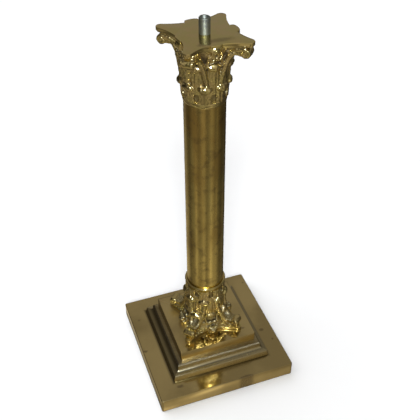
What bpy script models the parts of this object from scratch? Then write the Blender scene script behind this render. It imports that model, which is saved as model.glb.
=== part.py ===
"""Brass column lamp base: a square slab, a stepped plinth, a plain round shaft between two
castings with acanthus leaves, and the threaded lamp tube on top. Metres, +Z up, with the
origin at the middle of the underside."""

import math

import bmesh
import bpy
from mathutils import Matrix, Vector

# Gaps between pieces that touch
JOINT_GAP = 0.0003
TUBE_CLEARANCE = 0.0003

# Square base slab
SLAB_WIDTH = 0.152
SLAB_THICKNESS = 0.0174
SLAB_CORNER_RADIUS = 0.0018
SLAB_EDGE_RADIUS = 0.0010

# Stepped plinth, from its flat top down to its skirt
PLINTH_TOP_WIDTH = 0.0862
FASCIA_HEIGHT = 0.0126
LEDGE_WIDTH = 0.0030
SHOULDER_RADIUS = 0.0024
BAND_HEIGHT = 0.0030
COVE_DEPTH = 0.0058
COVE_HEIGHT = 0.0034
SKIRT_BATTER = 0.0015
SKIRT_HEIGHT = 0.0068

# Shaft: a plain brass tube over a spigot at each end
SHAFT_RADIUS = 0.01935
SHAFT_WALL = 0.0012
SHAFT_EXPOSED = 0.2190
SPIGOT_LENGTH = 0.0080

# Carving of both castings, from the leaves' foot to the abacus face
CARVED_HEIGHT = 0.0570
LEAF_RELIEF = 0.0021
RIB_RELIEF = 0.0004
LEAF_WIDTH = 0.0126
LOW_CREST = 0.0146
HIGH_FOOT = 0.0094
HIGH_CREST = 0.0350
TIP_WIDTH = 0.0126
TIP_HEIGHT = 0.0078
TIP_DEPTH = 0.0072
LOW_TIP_REACH = 0.0054
HIGH_TIP_REACH = 0.0044
CORNER_TIP_REACH = 0.0072
STALK_RADIUS = 0.0025
HELIX_RADIUS = 0.0013
HELIX_CURL = 0.0023
VOLUTE_RADIUS = 0.0041
VOLUTE_WIDTH = 0.0088
BELL_FLARE = 0.0235

# Abacus of both castings
ABACUS_OVERHANG = 0.0250
ABACUS_TIP_RADIUS = 0.0045
ABACUS_FILLET = 0.0033
ABACUS_MOULDING = 0.0013
ABACUS_STEP = 0.0010
FLEURON_WIDTH = 0.0125
FLEURON_DEPTH = 0.0100
WORN_TIP = 0.0026

# Sides of an abacus: its waist past the shaft, its bump past the waist, the flower's reach
# past the shaft and the bump's width
EVEN_SIDE = (0.0048, 0.0034, 0.0118, 0.0110)
BROAD_SIDE = (0.0066, 0.0049, 0.0126, 0.0136)
SLIM_SIDE = (0.0046, 0.0012, 0.0077, 0.0110)

# How each casting is turned about the axis against the slab
UPPER_TURN = math.radians(3.9)
LOWER_TURN = math.radians(-1.0)

# Ring under the upper leaves and double-lipped collar over the lower ones
RING_HEIGHT = 0.0041
RING_LIP = 0.0007
COLLAR_HEIGHT = 0.0058
COLLAR_LIP = 0.0024
COLLAR_SEAT = 0.0020

# Lamp tube, screwed into the top casting
LAMP_TUBE_RADIUS = 0.0050
LAMP_TUBE_WALL = 0.0015
LAMP_TUBE_EXPOSED = 0.0146
LAMP_TUBE_SEAT = 0.0150
LAMP_TUBE_CHAMFER = 0.0007

# Facets
SHAFT_SIDES = 48
BELL_SIDES = 32
LAMP_TUBE_SIDES = 24
LEAF_COLUMNS = 18
LEAF_ROWS = 26
CAST_GRAIN = 0.0007
FACET_SHARE = 0.031

# Heights and fits that follow from the sizes above
PLINTH_HEIGHT = FASCIA_HEIGHT + SHOULDER_RADIUS + BAND_HEIGHT + COVE_HEIGHT + SKIRT_HEIGHT
PLINTH_FOOT_Z = SLAB_THICKNESS + JOINT_GAP
LOWER_FACE_Z = PLINTH_FOOT_Z + PLINTH_HEIGHT + JOINT_GAP
LOWER_RIM_Z = LOWER_FACE_Z + CARVED_HEIGHT + COLLAR_HEIGHT
UPPER_RIM_Z = LOWER_RIM_Z + SHAFT_EXPOSED
UPPER_FACE_Z = UPPER_RIM_Z + RING_HEIGHT + CARVED_HEIGHT
ABACUS_THICKNESS = ABACUS_FILLET + ABACUS_MOULDING
BELL_RADIUS = SHAFT_RADIUS - 0.0005
LEAF_BACK_RADIUS = BELL_RADIUS - 0.0008
RIM_OVERLAP = 0.0015
SPIGOT_RADIUS = SHAFT_RADIUS - SHAFT_WALL - TUBE_CLEARANCE
LEAF_SPACING = math.radians(45)


def principled(name, colour, roughness):
    """A plain metal material."""
    made = bpy.data.materials.new(name)
    made.use_nodes = True
    shader = made.node_tree.nodes["Principled BSDF"]
    shader.inputs["Base Color"].default_value = (*colour, 1.0)
    shader.inputs["Roughness"].default_value = roughness
    shader.inputs["Metallic"].default_value = 1.0
    return made


def add_object(name, data, collection):
    """An object for a mesh or a curve."""
    made = bpy.data.objects.new(name, data)
    collection.objects.link(made)
    return made


def outward_mesh(name, shape):
    """The mesh of a bmesh, with its faces turned outwards."""
    bmesh.ops.recalc_face_normals(shape, faces=shape.faces)
    made = bpy.data.meshes.new(name)
    shape.to_mesh(made)
    shape.free()
    return made


def turned(name, profile, sides, collection):
    """A solid turned about Z from (radius, height) points that run down its outer side."""
    shape = bmesh.new()
    ring = profile[0] == profile[-1]
    points = [shape.verts.new((radius, 0.0, height))
              for radius, height in profile[:len(profile) - ring]]
    for upper, lower in zip(points, points[1:] + points[:1] * ring):
        shape.edges.new((upper, lower))
    data = bpy.data.meshes.new(name)
    shape.to_mesh(data)
    shape.free()
    made = add_object(name, data, collection)
    screw = made.modifiers.new("turn", "SCREW")
    screw.axis = "Z"
    screw.angle = math.tau
    screw.steps = sides
    screw.render_steps = sides
    screw.use_merge_vertices = True
    screw.merge_threshold = 0.00001
    return made


def frozen(source, collection):
    """The object's evaluated shape as a welded mesh of its own; the object itself goes."""
    bpy.context.view_layer.update()
    graph = bpy.context.evaluated_depsgraph_get()
    name = source.name
    shape = bmesh.new()
    shape.from_mesh(bpy.data.meshes.new_from_object(source.evaluated_get(graph)))
    bmesh.ops.remove_doubles(shape, verts=shape.verts, dist=0.000002)
    place = source.matrix_world.copy()
    bpy.data.objects.remove(source)
    made = add_object(name, outward_mesh(name, shape), collection)
    made.matrix_world = place
    return made


def around(radius, angle, height):
    """The point at a radius and an angle about the axis."""
    return Vector((radius * math.cos(angle), radius * math.sin(angle), height))


def arc(centre, radius, start, end, steps):
    """Points round a centre, from one angle to another."""
    turns = [start + (end - start) * step / steps for step in range(steps + 1)]
    return [(centre[0] + radius * math.cos(turn), centre[1] + radius * math.sin(turn))
            for turn in turns]


def make_slab(collection):
    """The square slab, with softened corners and edges."""
    shape = bmesh.new()
    bmesh.ops.create_cube(shape, size=1.0)
    bmesh.ops.scale(shape, vec=(SLAB_WIDTH, SLAB_WIDTH, SLAB_THICKNESS), verts=shape.verts)
    bmesh.ops.translate(shape, vec=(0.0, 0.0, SLAB_THICKNESS / 2), verts=shape.verts)
    upright = [edge for edge in shape.edges
               if abs(edge.verts[0].co.z - edge.verts[1].co.z) > SLAB_THICKNESS / 2]
    bmesh.ops.bevel(shape, geom=upright, offset=SLAB_CORNER_RADIUS, segments=3,
                    profile=0.5, affect="EDGES")
    rims = [edge for edge in shape.edges
            if abs(edge.verts[0].co.z - edge.verts[1].co.z) < SLAB_THICKNESS / 2]
    bmesh.ops.bevel(shape, geom=rims, offset=SLAB_EDGE_RADIUS, segments=2,
                    profile=0.5, affect="EDGES")
    return add_object("base_slab", outward_mesh("base_slab", shape), collection)


def plinth_profile():
    """(half width, height) from the middle of the top down to the foot of the skirt."""
    half = PLINTH_TOP_WIDTH / 2
    ledge = PLINTH_HEIGHT - FASCIA_HEIGHT
    band = half + LEDGE_WIDTH + SHOULDER_RADIUS
    band_foot = ledge - SHOULDER_RADIUS - BAND_HEIGHT
    points = [(0.0, PLINTH_HEIGHT), (half, PLINTH_HEIGHT), (half, ledge)]
    points += arc((half + LEDGE_WIDTH, ledge - SHOULDER_RADIUS), SHOULDER_RADIUS,
                  math.pi / 2, 0.0, 3)
    for step in range(4):
        turn = math.pi / 2 * step / 3
        points.append((band + COVE_DEPTH * (1 - math.cos(turn)),
                       band_foot - COVE_HEIGHT * math.sin(turn)))
    points += [(band + COVE_DEPTH + SKIRT_BATTER, 0.0), (0.0, 0.0)]
    return points


def make_plinth(collection):
    """The stepped plinth: one moulding run round a square, so it is turned in four steps."""
    corner = math.sqrt(2.0)
    profile = [(half * corner, height) for half, height in plinth_profile()]
    made = turned("stepped_plinth", profile, 4, collection)
    made.rotation_euler.z = math.radians(45)
    made.location.z = PLINTH_FOOT_Z
    return made


def make_shaft(collection):
    """The plain shaft, a tube open at both ends."""
    low = LOWER_RIM_Z - COLLAR_SEAT + JOINT_GAP
    high = UPPER_RIM_Z - JOINT_GAP
    inner = SHAFT_RADIUS - SHAFT_WALL
    profile = [(inner, high), (SHAFT_RADIUS, high), (SHAFT_RADIUS, low), (inner, low),
               (inner, high)]
    return turned("shaft", profile, SHAFT_SIDES, collection)


def make_lamp_tube(collection):
    """The hollow threaded tube that stands out of the abacus, chamfered at its end."""
    low = UPPER_FACE_Z - LAMP_TUBE_SEAT
    high = UPPER_FACE_Z + LAMP_TUBE_EXPOSED
    bore = LAMP_TUBE_RADIUS - LAMP_TUBE_WALL
    profile = [(bore, high), (LAMP_TUBE_RADIUS - LAMP_TUBE_CHAMFER, high),
               (LAMP_TUBE_RADIUS, high - LAMP_TUBE_CHAMFER), (LAMP_TUBE_RADIUS, low),
               (bore, low), (bore, high)]
    return turned("lamp_tube", profile, LAMP_TUBE_SIDES, collection)


def bell_profile():
    """The plain core behind the leaves, from inside the abacus down into the rim."""
    steps = 10
    top, low = CARVED_HEIGHT - ABACUS_THICKNESS / 2, -RIM_OVERLAP
    points = [(0.0, top - CARVED_HEIGHT)]
    for step in range(steps + 1):
        height = top + (low - top) * step / steps
        flare = max(0.0, height / CARVED_HEIGHT - 0.5) ** 1.5
        points.append((BELL_RADIUS + BELL_FLARE * flare, height - CARVED_HEIGHT))
    return points + [(0.0, low - CARVED_HEIGHT)]


def rim_start():
    """Where a rim leaves the core, just above the leaves' foot."""
    return [(0.0, RIM_OVERLAP - CARVED_HEIGHT),
            (BELL_RADIUS - RIM_OVERLAP, RIM_OVERLAP - CARVED_HEIGHT)]


def spigot_end(rim):
    """The plug that the shaft slips over."""
    return [(SPIGOT_RADIUS, rim - SPIGOT_LENGTH), (0.0, rim - SPIGOT_LENGTH)]


def ring_profile():
    """The upper casting's plain bead, its flat rim and the spigot inside the shaft."""
    rim = -CARVED_HEIGHT - RING_HEIGHT
    middle = rim + RING_HEIGHT / 2
    bead = [(SHAFT_RADIUS + RING_LIP * math.cos(turn),
             middle + RING_HEIGHT / 2 * math.sin(turn))
            for turn in (math.radians(60), 0.0, math.radians(-60))]
    return rim_start() + bead + [(SHAFT_RADIUS, rim), (SPIGOT_RADIUS, rim)] + spigot_end(rim)


def collar_profile():
    """The lower casting's collar: a neck, two beads and the seat that the shaft stands in."""
    rim = -CARVED_HEIGHT - COLLAR_HEIGHT
    seat = SHAFT_RADIUS + TUBE_CLEARANCE
    bead = (COLLAR_LIP - TUBE_CLEARANCE) / 4
    outer = (SHAFT_RADIUS + COLLAR_LIP - bead, rim + 3 * bead)
    inner = (seat + 2 * bead, rim + bead)
    neck = (SHAFT_RADIUS + 0.0004, rim + COLLAR_HEIGHT * 0.72)
    return (rim_start() + [neck] + arc(outer, bead, math.radians(70), math.radians(-70), 3)
            + arc(inner, bead, math.radians(20), math.radians(-90), 3)
            + [(seat, rim), (seat, rim + COLLAR_SEAT), (SPIGOT_RADIUS, rim + COLLAR_SEAT)]
            + spigot_end(rim))


def leaf_point(across, along, depth, angle, foot, top):
    """A point of a leaf: across -1 to 1, along 0 to 1, depth 0 at its back and 1 in front."""
    flutes = math.cos(3 * math.tau * across / 2) * (1 - 0.3 * abs(across))
    middle = math.exp(-(across / 0.14) ** 2)
    ribs = RIB_RELIEF * (flutes + 0.6 * middle) * min(1.0, 0.35 + along)
    front = SHAFT_RADIUS + LEAF_RELIEF * (0.75 + 0.25 * along) + ribs - 0.0006 * across ** 2
    radius = LEAF_BACK_RADIUS + (front - LEAF_BACK_RADIUS) * depth
    lobes = 0.86 + 0.14 * abs(math.sin(along * math.pi * 2.0 + 0.6))
    ending = min(1.0, (1.04 - along) / 0.24)
    half = LEAF_WIDTH / 2 * lobes * math.sqrt(ending * (2 - ending))
    height = foot + (top - foot) * along - CARVED_HEIGHT
    return around(radius, angle + across * half / front, height)


def make_leaf(name, angle, foot, crest, collection):
    """One acanthus leaf: a ribbed plate with a rounded top, laid on the bell."""
    shape = bmesh.new()
    bmesh.ops.create_grid(shape, x_segments=LEAF_COLUMNS, y_segments=LEAF_ROWS, size=1.0)
    plate = bmesh.ops.extrude_face_region(shape, geom=shape.faces[:], use_keep_orig=True)
    front = [item for item in plate["geom"] if isinstance(item, bmesh.types.BMVert)]
    bmesh.ops.translate(shape, vec=(0.0, 0.0, 1.0), verts=front)
    top = crest + TIP_HEIGHT * 0.45
    for vert in shape.verts:
        across, along, depth = vert.co.x, (vert.co.y + 1) / 2, vert.co.z
        vert.co = leaf_point(across, along, depth, angle, foot, top)
    return add_object(name, outward_mesh(name, shape), collection)


def make_leaf_tip(name, angle, crest, reach, collection):
    """The heavy rounded end of a leaf, which hangs over and narrows downwards."""
    shape = bmesh.new()
    bmesh.ops.create_uvsphere(shape, u_segments=20, v_segments=12, radius=1.0)
    for vert in shape.verts:
        down = max(0.0, -vert.co.z)
        vert.co = Vector((vert.co.x, vert.co.y * (1 - 0.35 * down), vert.co.z))
    bmesh.ops.scale(shape, vec=(TIP_DEPTH / 2, TIP_WIDTH / 2, TIP_HEIGHT / 2), verts=shape.verts)
    place = (SHAFT_RADIUS + reach - TIP_DEPTH / 2, 0.0, crest - CARVED_HEIGHT)
    bmesh.ops.translate(shape, vec=place, verts=shape.verts)
    bmesh.ops.rotate(shape, matrix=Matrix.Rotation(angle, 3, "Z"), verts=shape.verts)
    return add_object(name, outward_mesh(name, shape), collection)


def make_rod(name, route, collection):
    """A round stem along (point, radius) pairs, eight-sided."""
    data = bpy.data.curves.new(name, "CURVE")
    data.dimensions = "3D"
    data.bevel_depth = 1.0
    data.bevel_resolution = 2
    data.use_fill_caps = True
    spline = data.splines.new("POLY")
    spline.points.add(len(route) - 1)
    for point, (place, radius) in zip(spline.points, route):
        point.co = (*place, 1.0)
        point.radius = radius
    return frozen(add_object(name, data, collection), collection)


def stalk_route(middle, side):
    """A stalk that rises between two leaves and leans out under a corner of the abacus."""
    stops = [(22.5, 0.0000, 0.30, 1.0), (22.5, 0.0007, 0.565, 1.0), (24.0, 0.0018, 0.70, 1.0),
             (29.0, 0.0045, 0.78, 1.0), (37.0, 0.0100, 0.83, 0.9), (42.0, 0.0150, 0.855, 0.8)]
    return [(around(SHAFT_RADIUS + out, middle + side * math.radians(turn),
                    CARVED_HEIGHT * (share - 1)), STALK_RADIUS * swell)
            for turn, out, share, swell in stops]


def helix_route(middle, side):
    """A thin tendril from a stalk to the middle of its side, curled at the end."""
    route = [(around(SHAFT_RADIUS + 0.0008, middle + side * math.radians(21),
                     CARVED_HEIGHT * (0.64 - 1)), HELIX_RADIUS)]
    steps = 8
    for step in range(steps + 1):
        turn = math.radians(220 * step / steps)
        swing = HELIX_CURL * math.cos(turn) / SHAFT_RADIUS
        place = around(SHAFT_RADIUS + 0.0036 + 0.0012 * step / steps,
                       middle + side * (math.radians(8) + swing),
                       CARVED_HEIGHT * (0.78 - 1) + HELIX_CURL * math.sin(turn))
        route.append((place, HELIX_RADIUS))
    return route


def flat_plate(points, steps):
    """A bmesh of a closed outline in XY, carried down by (inset, drop) steps."""
    shape = bmesh.new()
    lower = shape.faces.new([shape.verts.new((*point, 0.0)) for point in points])
    for number, (inset, drop) in enumerate(steps):
        if inset > 0:
            bmesh.ops.inset_region(shape, faces=[lower], thickness=inset)
        extruded = bmesh.ops.extrude_face_region(shape, geom=[lower], use_keep_orig=True)
        if number > 0:
            bmesh.ops.delete(shape, geom=[lower], context="FACES_ONLY")
        moved = [item for item in extruded["geom"] if isinstance(item, bmesh.types.BMVert)]
        bmesh.ops.translate(shape, vec=(0.0, 0.0, -drop), verts=moved)
        lower = next(item for item in extruded["geom"] if isinstance(item, bmesh.types.BMFace))
    return shape


def volute_outline():
    """The bracket under a corner, as (distance from the axis, height) round its edge."""
    eye = (SHAFT_RADIUS + ABACUS_OVERHANG - VOLUTE_RADIUS - 0.0026,
           -ABACUS_THICKNESS - VOLUTE_RADIUS - 0.0013)
    scroll = arc(eye, VOLUTE_RADIUS, math.radians(75), math.radians(-135), 10)
    under = [(SHAFT_RADIUS + 0.0100, eye[1] - 0.0027), (SHAFT_RADIUS + 0.0052, eye[1] - 0.0035),
             (SHAFT_RADIUS + 0.0016, eye[1] - 0.0065), (LEAF_BACK_RADIUS, eye[1] - 0.0095)]
    top = -ABACUS_THICKNESS / 2
    return [(LEAF_BACK_RADIUS, top), (eye[0], top)] + scroll + under


def make_volute(turn, collection):
    """The bracket under one corner of the abacus, with its scroll."""
    shape = flat_plate(volute_outline(), [(0.0, VOLUTE_WIDTH)])
    bmesh.ops.translate(shape, vec=(0.0, 0.0, VOLUTE_WIDTH / 2), verts=shape.verts)
    rims = [edge for edge in shape.edges
            if abs(edge.verts[0].co.z - edge.verts[1].co.z) < VOLUTE_WIDTH / 2]
    bmesh.ops.bevel(shape, geom=rims, offset=VOLUTE_WIDTH / 6, segments=2, profile=0.5,
                    affect="EDGES")
    stand = Matrix.Rotation(turn, 3, "Z") @ Matrix.Rotation(math.pi / 2, 3, "X")
    bmesh.ops.rotate(shape, matrix=stand, verts=shape.verts)
    return add_object("volute", outward_mesh("volute", shape), collection)


def make_fleuron(middle, side, collection):
    """The flower's round boss under the middle of a side."""
    shape = bmesh.new()
    bmesh.ops.create_uvsphere(shape, u_segments=16, v_segments=10, radius=1.0)
    size = (FLEURON_DEPTH / 2, FLEURON_WIDTH / 2, FLEURON_DEPTH / 2)
    bmesh.ops.scale(shape, vec=size, verts=shape.verts)
    out = SHAFT_RADIUS + side[2] - size[0]
    bmesh.ops.translate(shape, vec=(out, 0.0, -0.0003 - FLEURON_DEPTH / 2), verts=shape.verts)
    bmesh.ops.rotate(shape, matrix=Matrix.Rotation(middle, 3, "Z"), verts=shape.verts)
    return add_object("fleuron", outward_mesh("fleuron", shape), collection)


def tip_centre():
    """How far the centre of a tip's arc lies from the middle, along X and Y alike."""
    return (SHAFT_RADIUS + ABACUS_OVERHANG - ABACUS_TIP_RADIUS) / math.sqrt(2.0)


def hollow_radius(side):
    """Radius of a side's hollow, which meets the tips' arcs without a kink."""
    corner, waist = tip_centre(), SHAFT_RADIUS + side[0]
    return ((corner ** 2 + (corner - waist) ** 2 - ABACUS_TIP_RADIUS ** 2)
            / (2 * (ABACUS_TIP_RADIUS + corner - waist)))


def tip_lean(side):
    """Direction from a tip's centre to where its arc meets the hollow of that side."""
    corner, waist = tip_centre(), SHAFT_RADIUS + side[0]
    return math.atan2(waist + hollow_radius(side) - corner, -corner)


def side_points(side):
    """A side of the abacus, seen as the one at +Y: hollow, with the flower's blunt bump."""
    waist, bump, _, width = side
    hollow = hollow_radius(side)
    touch = tip_centre() * hollow / (hollow + ABACUS_TIP_RADIUS)
    flank = []
    for step in range(4):
        across = -touch + (touch - width / 2) * step / 3
        flank.append((across, SHAFT_RADIUS + waist + hollow
                      - math.sqrt(hollow ** 2 - across ** 2)))
    base = flank.pop()[1]
    crown = []
    for step in range(7):
        turn = math.pi * (1 - step / 6)
        blunt = math.copysign(abs(math.cos(turn)) ** 0.7, math.cos(turn))
        crown.append((width / 2 * blunt, base + bump * max(0.0, math.sin(turn)) ** 0.7))
    return flank + crown + [(-across, out) for across, out in reversed(flank)]


def abacus_outline(sides, worn):
    """Plan of the abacus, with its sides at +Y, +X, -Y and -X and the tip at -X -Y worn."""
    corner = tip_centre()
    points = []
    for quarter, side in enumerate(sides):
        end = math.pi / 2 - tip_lean(sides[(quarter + 1) % 4])
        run = side_points(side) + arc((corner, corner), ABACUS_TIP_RADIUS, tip_lean(side),
                                      end, 4)[1:-1]
        spin = Matrix.Rotation(-quarter * math.pi / 2, 2)
        points += [spin @ Vector(point) for point in run]
    front = Vector((-1.0, -1.0)).normalized()
    reach = SHAFT_RADIUS + ABACUS_OVERHANG
    return [point * (1 - worn / reach * max(0.0, point.normalized() @ front) ** 4)
            for point in points]


def make_carving(sides, collection):
    """Core, leaves, stalks, tendrils, volutes and flowers of a casting, run into each other."""
    core = turned("core", bell_profile(), BELL_SIDES, collection)
    carved = [frozen(core, collection)]
    for index in range(8):
        turn = index * LEAF_SPACING
        between = turn + LEAF_SPACING / 2
        reach = CORNER_TIP_REACH if index % 2 else HIGH_TIP_REACH
        carved += [make_leaf("leaf_low", between, 0.0, LOW_CREST, collection),
                   make_leaf_tip("tip_low", between, LOW_CREST, LOW_TIP_REACH, collection),
                   make_leaf("leaf_high", turn, HIGH_FOOT, HIGH_CREST, collection),
                   make_leaf_tip("tip_high", turn, HIGH_CREST, reach, collection)]
    for quarter, side in enumerate(sides):
        middle = (1 - quarter) * math.pi / 2
        for hand in (-1, 1):
            carved.append(make_rod("stalk", stalk_route(middle, hand), collection))
            carved.append(make_rod("helix", helix_route(middle, hand), collection))
        carved.append(make_volute(middle + math.pi / 4, collection))
        carved.append(make_fleuron(middle, side, collection))
    return carved


def fused(name, pieces, collection):
    """One mesh of all the pieces, whose overlaps a fine remesh melts together."""
    shape = bmesh.new()
    for piece in pieces:
        shape.from_mesh(piece.data)
        bpy.data.objects.remove(piece)
    data = bpy.data.meshes.new(name)
    shape.to_mesh(data)
    shape.free()
    made = add_object(name, data, collection)
    melt = made.modifiers.new("melt", "REMESH")
    melt.mode = "VOXEL"
    melt.voxel_size = CAST_GRAIN
    thin = made.modifiers.new("fewer facets", "DECIMATE")
    thin.ratio = FACET_SHARE
    return made


def combine(made, other, operation):
    """A live Boolean of another closed shape, which is hidden and moves with the piece."""
    other.parent = made
    other.hide_render = True
    other.display_type = "WIRE"
    step = made.modifiers.new(other.name, "BOOLEAN")
    step.operation = operation
    step.solver = "EXACT"
    step.object = other


def make_casting(name, rim_profile, sides, worn, column, cutters):
    """One casting, with its abacus face at its origin and its leaves below."""
    made = fused(name, make_carving(sides, cutters), column)
    slab = flat_plate(abacus_outline(sides, worn), [(0.0, ABACUS_FILLET),
                                                    (ABACUS_STEP, ABACUS_MOULDING)])
    abacus = add_object(name + "_abacus", outward_mesh("abacus", slab), cutters)
    combine(made, abacus, "UNION")
    combine(made, turned(name + "_rim", rim_profile, BELL_SIDES, cutters), "UNION")
    return made


def bore_seat(made, cutters):
    """The hole that the lamp tube is screwed into."""
    radius = LAMP_TUBE_RADIUS + TUBE_CLEARANCE
    floor = -LAMP_TUBE_SEAT - JOINT_GAP
    profile = [(0.0, LAMP_TUBE_SEAT), (radius, LAMP_TUBE_SEAT), (radius, floor), (0.0, floor)]
    combine(made, turned("lamp_tube_seat", profile, LAMP_TUBE_SIDES, cutters), "DIFFERENCE")


def build():
    """All six pieces in their places."""
    for item in list(bpy.data.objects):
        bpy.data.objects.remove(item)
    column = bpy.data.collections.new("brass_column")
    cutters = bpy.data.collections.new("cutters")
    for collection in (column, cutters):
        bpy.context.scene.collection.children.link(collection)
    polished = principled("polished_brass", (0.48, 0.36, 0.12), 0.18)
    cast = principled("cast_brass", (0.55, 0.40, 0.13), 0.26)
    tube_brass = principled("tube_brass", (0.45, 0.33, 0.10), 0.24)
    steel = principled("zinc_steel", (0.42, 0.43, 0.40), 0.34)
    make_slab(column).data.materials.append(polished)
    make_plinth(column).data.materials.append(polished)
    lower = make_casting("lower_casting", collar_profile(), (EVEN_SIDE,) * 4, 0.0, column,
                         cutters)
    lower.location.z = LOWER_FACE_Z
    lower.rotation_euler = (math.pi, 0.0, LOWER_TURN)
    sides = (BROAD_SIDE, BROAD_SIDE, SLIM_SIDE, SLIM_SIDE)
    upper = make_casting("upper_capital", ring_profile(), sides, WORN_TIP, column, cutters)
    bore_seat(upper, cutters)
    upper.location.z = UPPER_FACE_Z
    upper.rotation_euler.z = UPPER_TURN
    lower.data.materials.append(cast)
    upper.data.materials.append(cast)
    make_shaft(column).data.materials.append(tube_brass)
    make_lamp_tube(column).data.materials.append(steel)


build()
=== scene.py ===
import math

import bmesh
import bpy
import numpy as np
from mathutils import Matrix, Vector, noise
from mathutils.bvhtree import BVHTree


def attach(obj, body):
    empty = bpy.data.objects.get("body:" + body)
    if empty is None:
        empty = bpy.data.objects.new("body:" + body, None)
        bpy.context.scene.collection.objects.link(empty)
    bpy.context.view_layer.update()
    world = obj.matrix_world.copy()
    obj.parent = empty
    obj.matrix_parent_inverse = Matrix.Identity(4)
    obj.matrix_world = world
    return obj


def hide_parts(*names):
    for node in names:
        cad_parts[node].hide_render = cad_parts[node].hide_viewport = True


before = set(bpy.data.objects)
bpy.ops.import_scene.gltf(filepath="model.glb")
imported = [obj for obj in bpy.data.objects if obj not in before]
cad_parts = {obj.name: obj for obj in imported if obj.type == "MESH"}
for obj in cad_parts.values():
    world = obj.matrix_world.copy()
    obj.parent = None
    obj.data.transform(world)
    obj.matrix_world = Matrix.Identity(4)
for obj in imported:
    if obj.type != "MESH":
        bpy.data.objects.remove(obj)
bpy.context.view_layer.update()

# Base slab
# A thick square of cast brass with eased edges, ground flat and hand polished. It lies on the
# floor, and the plinth is bolted down on it. Its polish is clouded by handling and tarnish.

SLAB_WIDTH = 0.152
SLAB_THICKNESS = 0.0174
SLAB_CORNER_RADIUS = 0.0018
SLAB_EDGE_RADIUS = 0.0009
PIECE_GAP = 0.0003
POLISH_WAVINESS = 0.00004
# Width of the band of painted shade on the slab round the plinth's foot.
SHADE_BAND_WIDTH = 0.0036
CLEAN_BRASS = (0.80, 0.64, 0.31, 1.0)
DULL_BRASS = (0.51, 0.40, 0.19, 1.0)
BROWN_TARNISH = (0.20, 0.145, 0.08, 1.0)
# Dark brown painted shade, used on the slab round the plinth and on the plinth's shaded sides.
PAINTED_SHADE = (0.07, 0.055, 0.035, 1.0)
PLINTH_FOOT_HALF = 0.0558


class Tint:
    """A socket among a material's nodes, which arithmetic and further nodes extend."""

    def __init__(self, tree, socket=None):
        self.tree = tree
        self.socket = socket

    def node(self, kind, settings, values, result=0):
        """Another node: its type, its settings, its sockets' values or links, its output."""
        made = self.tree.nodes.new("ShaderNode" + kind)
        for name, value in settings.items():
            setattr(made, name, value)
        for name, value in values.items():
            if isinstance(value, Tint):
                self.tree.links.new(value.socket, made.inputs[name])
            else:
                made.inputs[name].default_value = value
        return Tint(self.tree, made.outputs[result])

    def math(self, operation, *values):
        return self.node("Math", {"operation": operation}, dict(enumerate(values)))

    def __add__(self, other):
        return self.math("ADD", self, other)

    def __sub__(self, other):
        return self.math("SUBTRACT", self, other)

    def __rsub__(self, other):
        return self.math("SUBTRACT", other, self)

    def __mul__(self, other):
        return self.math("MULTIPLY", self, other)

    __radd__ = __add__
    __rmul__ = __mul__

    def between(self, low, high):
        """0 below low, 1 above high, with a smooth step between."""
        return self.node("MapRange", {"interpolation_type": "SMOOTHSTEP"},
                         {"Value": self, "From Min": low, "From Max": high})

    def coat(self, under, over):
        """The colour under, covered by the colour over where this mask is 1."""
        return self.node("Mix", {"data_type": "RGBA"}, {0: self, 6: under, 7: over}, 2)

    def grain(self, scale, detail=3.0, stretch=(1.0, 1.0, 1.0), turn=(0.0, 0.0, 0.0)):
        """Noise on this socket's coordinates, stretched and turned."""
        laid = self.node("Mapping", {}, {"Vector": self, "Rotation": turn, "Scale": stretch})
        return self.node("TexNoise", {}, {"Vector": laid, "Scale": scale, "Detail": detail})


def metal(name):
    """A new metal material: the material, its shader and its object coordinates."""
    made = bpy.data.materials.new(name)
    made.use_nodes = True
    shader = made.node_tree.nodes["Principled BSDF"]
    shader.inputs["Metallic"].default_value = 1.0
    place = Tint(made.node_tree).node("TexCoord", {}, {}, "Object")
    return made, shader, place


def feed(shader, **sockets):
    """Links what varies over the surface to a shader, the names' underscores as spaces."""
    for name, value in sockets.items():
        value.tree.links.new(value.socket, shader.inputs[name.replace("_", " ")])


def relief(height, depth, under=None):
    """The normal of a surface with that height, whose full range is depth metres."""
    values = {"Height": height, "Distance": depth}
    if under:
        values["Normal"] = under
    return height.node("Bump", {}, values)


def blots(place, dark_ovals):
    """1 inside ragged dark ovals, each given as its centre (x, y), half width and half depth."""
    ragged = place.grain(300.0, 2.0) * 0.5
    total = None
    for x, y, wide, deep in dark_ovals:
        laid = place.node("Mapping", {"vector_type": "TEXTURE"},
                          {"Vector": place, "Location": (x, y, 0.0), "Scale": (wide, deep, 1.0)})
        apart = laid.node("VectorMath", {"operation": "LENGTH"}, {0: laid}, "Value")
        dark_oval = 1 - (apart + ragged).between(0.7, 1.5)
        total = total.math("MAXIMUM", total, dark_oval) if total else dark_oval
    return total


def split(place):
    """The X, Y and Z of coordinates."""
    parts = place.node("SeparateXYZ", {}, {"Vector": place}).socket.node
    return [Tint(place.tree, parts.outputs[axis]) for axis in range(3)]


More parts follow.
